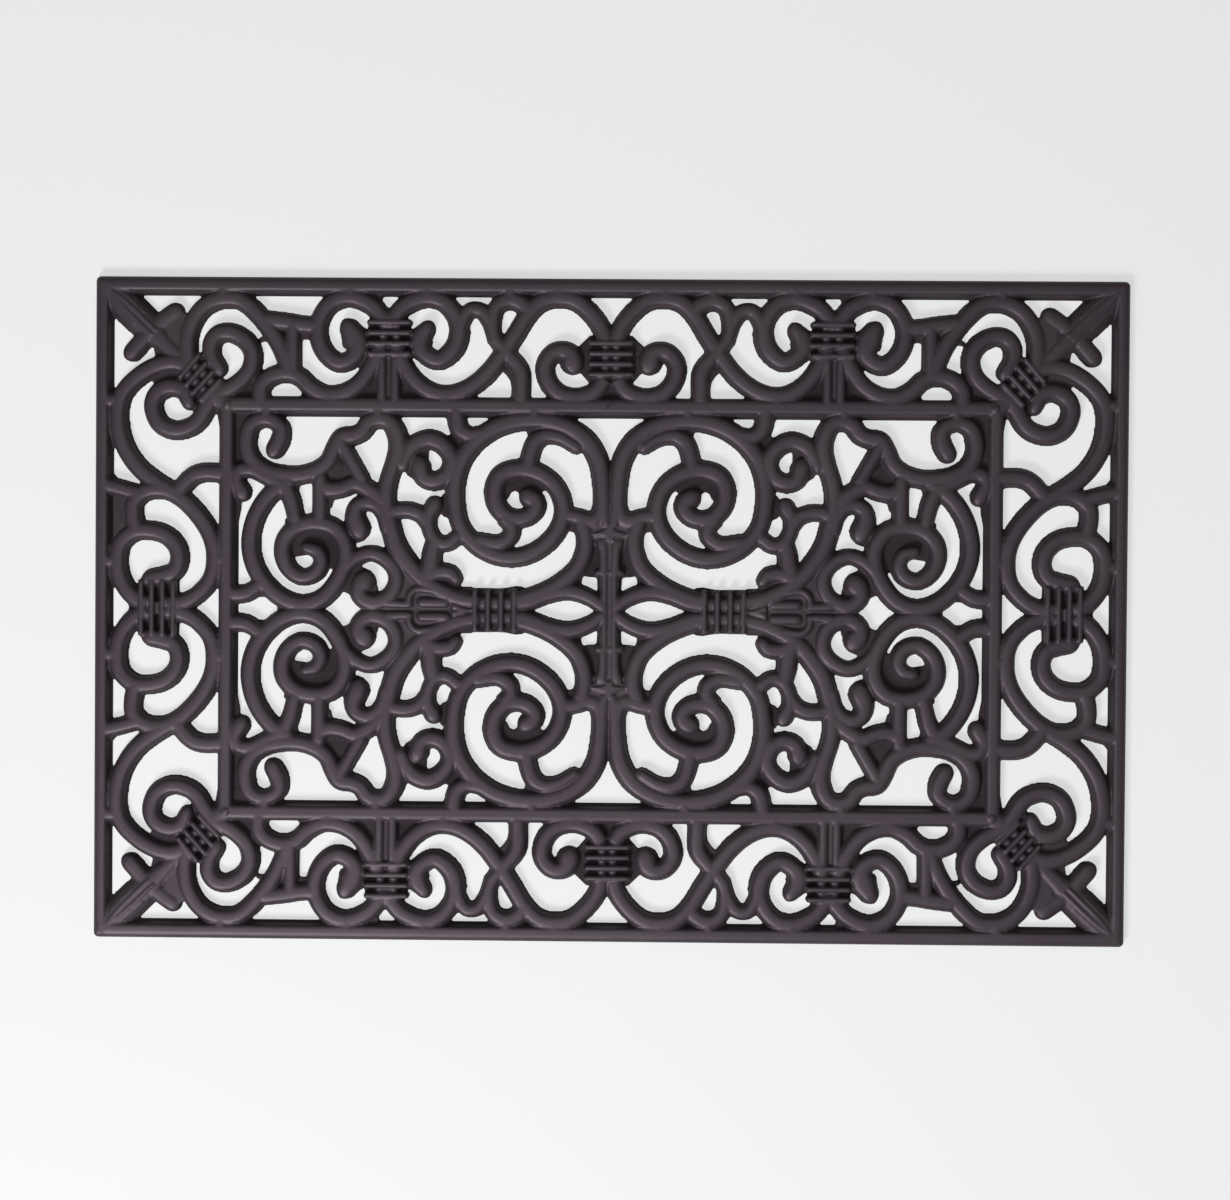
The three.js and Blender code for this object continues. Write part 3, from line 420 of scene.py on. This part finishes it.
web((1, 1.42), (1.03, 1.42), (1.034, 1.5), (1.026, 1.58), (1, 1.6), tall=DEEP_WEB)

# Centre ornament and spine. A bud of two bars, a collar of four ribs and a lens-shaped eye lie
# along the length. Across the mat's middle a tulip on a double stem rises to a small star.
BUD_BED = 0.0062
STAR_BED = 0.0075
STAR_TOP = 0.0089
strand((1.545, 1.65), (1.536, 1.72, 1.08), (1.531, 1.79, 1.1), (1.515, 1.85))
strand((1.52, 1.84), (1.55, 1.814, 0.95), (1.585, 1.819, 0.9), (1.598, 1.843, 0.75), free="end")
strand((1.424, 1.969, 0.64), (1.47, 1.974, 0.54), free="start end")
strand((1.513, 1.965, 0.66), (1.57, 1.966, 0.64), free="start end")
strand((1.478, 1.985, 0.5), (1.478, 1.935, 0.5), (1.495, 1.9, 0.5), (1.54, 1.905, 0.5))
strand((1.59, 1.98, 0.5), (1.61, 1.992, 0.42), (1.633, 2, 0.15), (1.64, 2.005, 0.1))
strand((1.745, 1.957), (1.8, 1.93), (1.865, 1.871), (1.917, 1.785), (1.936, 1.69), (1.935, 1.62),
       (1.927, 1.575), free="end")
strand((1.745, 1.965), (1.79, 1.953), (1.84, 1.918), (1.895, 1.904, 0.95), (1.945, 1.931, 0.9),
       (1.985, 1.982, 0.8))
strand((1.63, 1.965, 0.8), (1.77, 1.965, 0.8), tall=UNDER_COLLAR)
strand((2, 1.65, 0.5), (2, 2.01, 0.5), tall=0.87)
strand((1.9872, 1.81, 0.5), (1.9872, 2.01, 0.5), tall=0.97)
strand((1.972, 1.812, 0.45), (2.01, 1.812, 0.45), tall=0.94, free="start")
strand((1.985, 1.82, 0.62), (1.985, 1.74, 0.62), (1.983, 1.69, 0.7), (1.98, 1.672, 0.78),
       tall=0.98, free="end")
strand((1.982, 1.44, 0.9), (1.985, 1.53, 0.9), (1.991, 1.585, 0.6))
web((1.43, 1.97), (1.44, 1.78), (1.46, 1.75), (1.6, 1.93), (1.64, 2.01), (1.35, 2.01),
    (1.36, 1.96), tall=BUD_BED)
web((1.635, 1.89), (1.72, 1.892), (1.755, 1.88), (1.772, 1.882), (1.79, 1.905), (1.765, 2.01),
    (1.635, 2.01), tall=DEEP_WEB)
web((1.93, 1.55), (1.985, 1.48), (1.985, 1.3), (2.01, 1.3), (2.01, 1.86), (1.97, 1.86),
    (1.966, 1.836), (1.945, 1.834), (1.93, 1.828), (1.926, 1.88), (1.915, 1.88), (1.92, 1.75),
    tall=DEEP_WEB)
web((1.967, 1.84), (1.99, 1.83), (1.99, 1.95), (1.97, 1.94), tall=DEEP_WEB)
web((1.955, 1.57), (1.975, 1.5), (2.01, 1.5), (2.01, 1.69), (1.988, 1.69), (1.968, 1.652),
    (1.948, 1.632), tall=STAR_BED)
web((1.954, 1.624), (1.974, 1.612), (1.988, 1.597), (1.997, 1.575), (2.01, 1.575), (2.01, 1.655),
    (2, 1.655), (1.99, 1.637), (1.975, 1.63), tall=STAR_TOP)
web((1.54, 1.83), (1.6, 1.84), (1.605, 1.885), (1.64, 1.885), (1.64, 1.95), (1.52, 1.87))
collar(((1.65, 1.905), (1.65, 2.005)), ((1.752, 1.905), (1.752, 2.005)))

# Pads. Where an arc comes up against a bar, a short stretch of strand runs on over the bar's flank.
# It is the same rubber from the same mould, and keeps the joint nearly as high as the arc.
for arc, bar in (((0.955, 0.18), (0.96, 0.09)), ((0.178, 0.97), (0.095, 0.97)),
                 ((1.318, 0.155), (1.318, 0.09)), ((1.52, 0.155), (1.52, 0.09)),
                 ((1.735, 0.165), (1.735, 0.09)), ((1.86, 0.152), (1.86, 0.09)),
                 ((1.265, 0.91), (1.265, 0.975)), ((1.568, 0.908), (1.568, 0.975)),
                 ((1.91, 0.92), (1.91, 0.975)), ((1.8, 1.068), (1.8, 1.02)),
                 ((1.1, 1.07), (1.1, 1.02)), ((1.392, 1.064), (1.392, 1.02)),
                 ((0.905, 1.76), (0.97, 1.76)), ((0.172, 1.77), (0.095, 1.77))):
    strand((*arc, 0.85), (*bar, 0.8), tall=0.99)

# The moulding. The quarter's shapes are drawn into one skin with a soft fillet wherever they meet,
# as the rubber leaves the mould, and the skin is parted into the members of the imported model. The
# rubber is near black with a little bloom and dust and matt towards the floor, and painted shade
# makes it darker below the tops, on the flanks and in the pockets.
GRAIN = 0.00075
SOFTENING = 0.5
SOFTENING_ROUNDS = 3
FACES_KEPT = 0.33
KNIFE_FROM = -0.005
KNIFE_HEIGHT = 0.025
ON_MIDDLE = 2e-6
MIRROR_MERGE = 5e-6
SLIVER = 4e-5


def mirrored_over(axis):
    """Adds to the mould what lies across a middle line, cut off a little way past it."""
    other = mould.copy()
    flip = Vector((1, 1, 1))
    flip[axis] = -1
    bmesh.ops.transform(other, matrix=Matrix.Diagonal((*flip, 1)), verts=other.verts)
    bmesh.ops.reverse_faces(other, faces=other.faces)
    side = Vector((0, 0, 0))
    side[axis] = 1 if axis == 0 else -1
    cut = bmesh.ops.bisect_plane(other, geom=other.verts[:] + other.edges[:] + other.faces[:],
                                 plane_co=side * PAST_MIDDLE, plane_no=side, clear_outer=True)
    bmesh.ops.holes_fill(other, edges=[piece for piece in cut["geom_cut"]
                                       if isinstance(piece, bmesh.types.BMEdge)])
    pour(as_mesh(other, "mirrored"))


def finished(thing):
    """The mesh of an object with its modifiers applied."""
    shown = thing.evaluated_get(bpy.context.evaluated_depsgraph_get())
    mesh = bpy.data.meshes.new_from_object(shown)
    bpy.data.objects.remove(thing)
    return mesh


def solid(name, mesh):
    """An object in the scene that holds the mesh."""
    thing = bpy.data.objects.new(name, mesh)
    bpy.context.scene.collection.objects.link(thing)
    return thing


mirrored_over(0)
mirrored_over(1)
skin = solid("skin", as_mesh(mould, "laid_quarter"))
remesh = skin.modifiers.new("Remesh", "REMESH")
remesh.mode = "VOXEL"
remesh.voxel_size = GRAIN
soften = skin.modifiers.new("Smooth", "SMOOTH")
soften.factor = SOFTENING
soften.iterations = SOFTENING_ROUNDS
thin = skin.modifiers.new("Decimate", "DECIMATE")
thin.ratio = FACES_KEPT
quarter = finished(skin)


def away_from_middle(across, front):
    """A place's two distances from the mat's middle lines."""
    spot = place(across, front)
    return -spot.x, spot.y


def combined(operation, mesh, other):
    """The mesh after a Boolean with another one."""
    tool, piece = solid("tool", other), solid("piece", mesh)
    cut = piece.modifiers.new("Boolean", "BOOLEAN")
    cut.operation = operation
    cut.solver = "MANIFOLD"
    cut.object = tool
    made = finished(piece)
    bpy.data.objects.remove(tool)
    return made


def member(*corners):
    """What the skin holds inside an outline of distances from the mat's middle."""
    outline = [Vector((-x, y, KNIFE_FROM)) for x, y in corners]
    knife = pushed(outline, [Matrix(), Matrix.Translation((0, 0, KNIFE_HEIGHT))])
    return combined("INTERSECT", quarter.copy(), knife)


def oblong(near_x, far_x, near_y, far_y):
    """The corners of a member with straight sides."""
    return (near_x, near_y), (near_x, far_y), (far_x, far_y), (far_x, near_y)


def across_middle(mesh, *axes):
    """The mesh grown together with its mirror image over the mat's middle."""
    body = bmesh.new()
    body.from_mesh(mesh)
    for axis in axes:
        side = Vector((1, 0, 0)) if axis == "X" else Vector((0, -1, 0))
        bmesh.ops.bisect_plane(body, geom=body.verts[:] + body.edges[:] + body.faces[:],
                               dist=ON_MIDDLE, plane_co=(0, 0, 0), plane_no=side,
                               clear_outer=True)
        bmesh.ops.mirror(body, geom=body.verts[:] + body.edges[:] + body.faces[:], axis=axis,
                         matrix=Matrix(), merge_dist=MIRROR_MERGE)
        bmesh.ops.remove_doubles(body, verts=body.verts, dist=SLIVER)
    bmesh.ops.recalc_face_normals(body, faces=body.faces)
    return as_mesh(body, "whole")


def flipped(mesh, x, y):
    """A mirrored copy of the mesh, faces out."""
    body = bmesh.new()
    body.from_mesh(mesh)
    bmesh.ops.transform(body, matrix=Matrix.Diagonal((x, y, 1, 1)), verts=body.verts)
    if x * y < 0:
        bmesh.ops.reverse_faces(body, faces=body.faces)
    return as_mesh(body, "copy")


# Painted shade: the flanks and pockets below the tops get a darker tone than the tops.
PAINTED_SHADE_TONE = (0.0155, 0.0108, 0.0148, 1)
TOP_TONE = (0.031, 0.0228, 0.0296, 1)
BLOOM_TONE = (0.044, 0.036, 0.041, 1)
DUST_TONE = (0.060, 0.052, 0.056, 1)
SHARP_FROM = 55

rubber = bpy.data.materials.new("black_rubber")
rubber.use_nodes = True
tree = rubber.node_tree
skin_shader = tree.nodes["Principled BSDF"]
skin_shader.inputs["Specular IOR Level"].default_value = 0.47
skin_shader.inputs["Specular Tint"].default_value = (1.0, 0.86, 0.95, 1)


def node(kind, **values):
    """A new node in the material at hand, with the given sockets and settings."""
    made = tree.nodes.new(kind)
    for name, value in values.items():
        if name in made.inputs:
            made.inputs[name].default_value = value
        else:
            setattr(made, name, value)
    return made


def mixed(share, first, second):
    """A mix of two colours, each a constant or the output of a node."""
    mix = tree.nodes.new("ShaderNodeMix")
    mix.data_type = "RGBA"
    tree.links.new(share, mix.inputs["Factor"])
    for socket, colour in zip([s for s in mix.inputs if s.type == "RGBA"], (first, second)):
        if isinstance(colour, tuple):
            socket.default_value = colour
        else:
            tree.links.new(colour, socket)
    return next(s for s in mix.outputs if s.type == "RGBA")


def ranged(value, low, high, to_low=0.0, to_high=1.0):
    """A value that runs from to_low to to_high while another runs from low to high."""
    made = node("ShaderNodeMapRange", **{"From Min": low, "From Max": high, "To Min": to_low,
                                         "To Max": to_high})
    tree.links.new(value, made.inputs["Value"])
    return made.outputs["Result"]


def noise(**values):
    """Noise that stays fixed in the rubber."""
    made = node("ShaderNodeTexNoise", **values)
    tree.links.new(where.outputs["Object"], made.inputs["Vector"])
    return made.outputs["Fac"]


def summed(value, times, added):
    """A value times a factor, plus another value."""
    made = node("ShaderNodeMath", operation="MULTIPLY_ADD")
    tree.links.new(value, made.inputs[0])
    made.inputs[1].default_value = times
    tree.links.new(added, made.inputs[2])
    return made.outputs[0]


where = node("ShaderNodeTexCoord")
parts = node("ShaderNodeSeparateXYZ")
tree.links.new(where.outputs["Object"], parts.inputs["Vector"])
height = parts.outputs["Z"]
bloom = ranged(noise(Scale=16.0, Detail=4.0), 0.4, 0.72, to_high=0.55)
dust = ranged(noise(Scale=420.0, Detail=2.0), 0.6, 0.8, to_high=0.5)
# Painted shade: the tone darkens from the tops down the flanks and into the low pockets.
tone = mixed(ranged(height, 0.004, 0.0087), PAINTED_SHADE_TONE, TOP_TONE)
tone = mixed(dust, mixed(bloom, tone, BLOOM_TONE), DUST_TONE)
tree.links.new(tone, skin_shader.inputs["Base Color"])
grain = noise(Scale=900.0, Detail=3.0, Roughness=0.6)
matt_below = ranged(height, 0.003, 0.0078, to_low=0.9, to_high=0.4)
tree.links.new(summed(grain, 0.16, matt_below), skin_shader.inputs["Roughness"])
bump = node("ShaderNodeBump", Strength=0.35, Distance=0.0002)
waves = noise(Scale=75.0, Detail=3.0)
tree.links.new(summed(waves, 4.0, grain), bump.inputs["Height"])
tree.links.new(bump.outputs["Normal"], skin_shader.inputs["Normal"])


def cast(name, mesh):
    """Finishes one member of the moulding in rubber and puts it in place of its CAD node."""
    mesh.name = f"{name}_rubber"
    mesh.materials.clear()
    mesh.materials.append(rubber)
    mesh.shade_smooth()
    mesh.set_sharp_from_angle(angle=math.radians(SHARP_FROM))
    piece = solid(f"{name}_rubber", mesh)
    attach(piece, "root")
    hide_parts(name)


# The cuts between the members. A bar keeps the foot of its flank, and the outermost cut runs
# clear of the rubber.
FOOT = 0.0011
CLEAR = 0.005
edge_x, edge_y = HALF_LENGTH + CLEAR, HALF_WIDTH + CLEAR
rim_x, rim_y = HALF_LENGTH - RIM_WIDTH - FOOT, HALF_WIDTH - RIM_WIDTH - FOOT
out_x, out_y = (HALF_LENGTH - SIDE_BORDER + FRAME_WIDTH / 2,
                HALF_WIDTH - LONG_BORDER + FRAME_WIDTH / 2)
in_x, in_y = out_x - FRAME_WIDTH - FOOT, out_y - FRAME_WIDTH - FOOT
lyre_x = away_from_middle(1.135, 1)[0]
middle_x = away_from_middle(1.72, 1)[0]
side_y = away_from_middle(1, 1.24)[1]
ornament_y = away_from_middle(1, 1.88)[1]
lens_x, lens_y = away_from_middle(1.72, 1.84)
ring_x = away_from_middle(1.31, 1)[0]
spine_x = away_from_middle(1.965, 1)[0]
past = -PAST_MIDDLE / 2
ROWS = (("back", 1), ("front", -1))
COLUMNS = (("left", 1), ("right", -1))
RIDGE_WIDE = 0.8
RIDGE_TALL = 1.035
ONE_SIDED_SKIN = 0.0055

for name, outline in (("outer_bar", oblong(past, edge_x, rim_y, edge_y)),
                      ("inner_bar", oblong(past, out_x, in_y, out_y)),
                      ("middle_scroll", oblong(past, middle_x, out_y, rim_y))):
    mesh = across_middle(member(*outline), "X")
    for row, y in ROWS:
        made = flipped(mesh, 1, y)
        # One short ridge slants over the back bar.
        if (name, row) == ("inner_bar", "back"):
            low, high = place(1.991, 1.003), place(2.007, 0.968)
            ridge = pushed(RIB_OUTLINE, [station(at, high - low, RIDGE_WIDE, RIDGE_TALL)
                                         for at in (low, high)])
            made = combined("UNION", made, ridge)
        cast(f"{name}_{row}", made)

for name, outline in (("outer_bar", oblong(rim_x, edge_x, past, rim_y)),
                      ("inner_bar", oblong(in_x, out_x, past, in_y)),
                      ("side_scroll", oblong(out_x, rim_x, past, side_y)),
                      ("ornament", ((spine_x, past), (spine_x, lens_y), (lens_x, lens_y),
                                    (lens_x, ornament_y), (ring_x, ornament_y), (ring_x, past)))):
    mesh = across_middle(member(*outline), "Y")
    for column, x in COLUMNS:
        made = flipped(mesh, x, 1)
        # Only the left scroll has this pocket skinned over.
        if (name, column) == ("side_scroll", "left"):
            made = combined("UNION", made, skin_over(
                ((0.139, 1.42), (0.29, 1.45), (0.27, 1.56), (0.29, 1.66), (0.2, 1.69),
                 (0.139, 1.71)), ONE_SIDED_SKIN))
        cast(f"{name}_{column}", made)

for name, outline in (("corner_scroll", ((lyre_x, out_y), (lyre_x, rim_y), (rim_x, rim_y),
                                         (rim_x, side_y), (out_x, side_y), (out_x, out_y))),
                      ("lyre", oblong(middle_x, lyre_x, out_y, rim_y)),
                      ("volute", ((spine_x, lens_y), (spine_x, in_y), (in_x, in_y), (in_x, 0),
                                  (ring_x, 0), (ring_x, ornament_y), (lens_x, ornament_y),
                                  (lens_x, lens_y)))):
    mesh = member(*outline)
    for row, y in ROWS:
        for column, x in COLUMNS:
            cast(f"{name}_{row}_{column}", flipped(mesh, x, y))

cast("spine", across_middle(member(*oblong(past, spine_x, past, in_y)), "X", "Y"))

# Floor, light and camera. A plain pale floor under a large soft lamp overhead and a smaller one
# from the front left, seen from straight above.
FLOOR_REACH = 30.0
FLOOR_GLOW = (0.905, 0.905, 0.915, 1)
FLOOR_SEEN = (0.8, 0.8, 0.8, 1)
FLOOR_UNSEEN = (0.3, 0.3, 0.3, 1)
GLOW_SHARE = 0.64
floor = bpy.data.materials.new("pale_floor")
floor.use_nodes = True
tree = floor.node_tree
matt = tree.nodes["Principled BSDF"]
matt.inputs["Roughness"].default_value = 0.9
matt.inputs["Specular IOR Level"].default_value = 0.0
glow = node("ShaderNodeEmission", Color=FLOOR_GLOW, Strength=1.0)
ray = node("ShaderNodeLightPath")


def calculated(operation, first, second):
    """What a Math node makes of one output and a second one or a constant."""
    made = node("ShaderNodeMath", operation=operation)
    tree.links.new(first, made.inputs[0])
    if isinstance(second, float):
        made.inputs[1].default_value = second
    else:
        tree.links.new(second, made.inputs[1])
    return made.outputs[0]


seen = calculated("MAXIMUM", ray.outputs["Is Camera Ray"], ray.outputs["Is Glossy Ray"])
seen_or_passed = calculated("MAXIMUM", seen, ray.outputs["Is Transmission Ray"])
tree.links.new(mixed(seen_or_passed, FLOOR_UNSEEN, FLOOR_SEEN), matt.inputs["Base Color"])
blend = node("ShaderNodeMixShader")
tree.links.new(calculated("MULTIPLY", seen_or_passed, GLOW_SHARE), blend.inputs["Fac"])
tree.links.new(matt.outputs["BSDF"], blend.inputs[1])
tree.links.new(glow.outputs["Emission"], blend.inputs[2])
tree.links.new(blend.outputs["Shader"], tree.nodes["Material Output"].inputs["Surface"])
sheet = bmesh.new()
bmesh.ops.create_grid(sheet, x_segments=1, y_segments=1, size=FLOOR_REACH)
flat = as_mesh(sheet, "floor")
flat.materials.append(floor)
solid("floor", flat)

SKY = 0.19
world = bpy.data.worlds.new("studio")
world.use_nodes = True
world.node_tree.nodes["Background"].inputs["Color"].default_value = (1, 1, 1, 1)
world.node_tree.nodes["Background"].inputs["Strength"].default_value = SKY
bpy.context.scene.world = world


def lamp(name, at, size, power):
    """A round soft lamp that faces the mat's middle."""
    light = bpy.data.lights.new(name, "AREA")
    light.shape = "DISK"
    light.size = size
    light.energy = power
    thing = bpy.data.objects.new(name, light)
    thing.location = at
    thing.rotation_euler = (-Vector(at)).to_track_quat("-Z", "Y").to_euler()
    bpy.context.scene.collection.objects.link(thing)


lamp("softbox", at=(-0.1, -0.2, 2.4), size=1.8, power=12.0)
lamp("front_lamp", at=(-0.75, -1.4, 1.55), size=0.7, power=43.0)

VIEW_ACROSS = 31.14
CAMERA_AT = (0.0273, 0.0281, 1.5)
CAMERA_TURNS = (-0.78, 0.903, 0.435)
camera = bpy.data.cameras.new("camera")
camera.sensor_fit = "HORIZONTAL"
camera.angle = math.radians(VIEW_ACROSS)
seen_from = bpy.data.objects.new("camera", camera)
seen_from.location = CAMERA_AT
seen_from.rotation_euler = [math.radians(turn) for turn in CAMERA_TURNS]
bpy.context.scene.collection.objects.link(seen_from)
bpy.context.scene.camera = seen_from
bpy.context.scene.view_settings.view_transform = "Standard"
